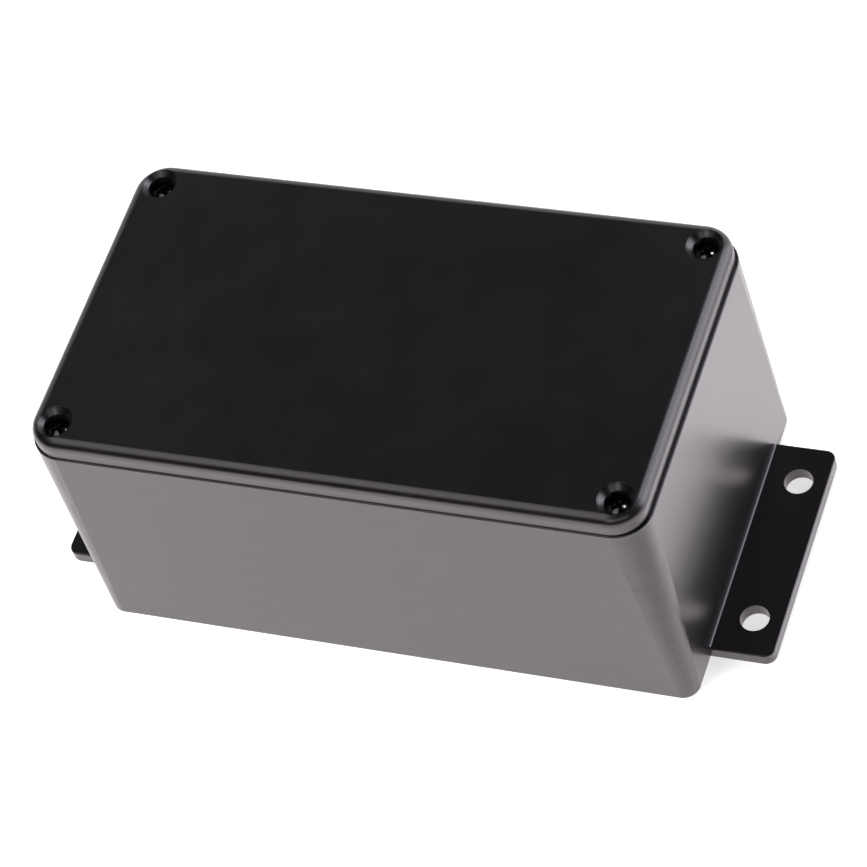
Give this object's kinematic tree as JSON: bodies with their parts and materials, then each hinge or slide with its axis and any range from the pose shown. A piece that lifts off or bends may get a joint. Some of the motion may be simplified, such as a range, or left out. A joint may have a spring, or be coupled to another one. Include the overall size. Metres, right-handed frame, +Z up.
{
  "type": "die-cast aluminium enclosure",
  "caption": "Black coated die-cast box with mounting flanges on both ends and a flat lid that seats on the rim with recessed corner screws, open inside for a circuit board.",
  "frame": {"origin": "centre of the underside", "axes": "+X along the length, from flange to flange; +Y to the back; +Z up, out of the lid"},
  "size_m": [0.1376, 0.064, 0.0542],
  "materials": {
    "casting_coat": "satin black coat on die-cast aluminium",
    "screw_steel": "steel with a glossy black oxide"
  },
  "bodies": {
    "base": {"base": "casting_coat"},
    "lid": {"lid": "casting_coat"},
    "screw_front_left": {"screw_front_left": "screw_steel"},
    "screw_front_right": {"screw_front_right": "screw_steel"},
    "screw_rear_left": {"screw_rear_left": "screw_steel"},
    "screw_rear_right": {"screw_rear_right": "screw_steel"}
  },
  "joints": [
    {"name": "lid_lift", "type": "slide", "parent": "base", "child": "lid", "axis": [0, 0, 1], "range_m": [0, 0.06]},
    {"name": "screw_front_left_out", "type": "slide", "parent": "lid", "child": "screw_front_left", "axis": [0, 0, 1], "range_m": [0, 0.0115]},
    {"name": "screw_front_right_out", "type": "slide", "parent": "lid", "child": "screw_front_right", "axis": [0, 0, 1], "range_m": [0, 0.0115]},
    {"name": "screw_rear_left_out", "type": "slide", "parent": "lid", "child": "screw_rear_left", "axis": [0, 0, 1], "range_m": [0, 0.0115]},
    {"name": "screw_rear_right_out", "type": "slide", "parent": "lid", "child": "screw_rear_right", "axis": [0, 0, 1], "range_m": [0, 0.0115]}
  ]
}
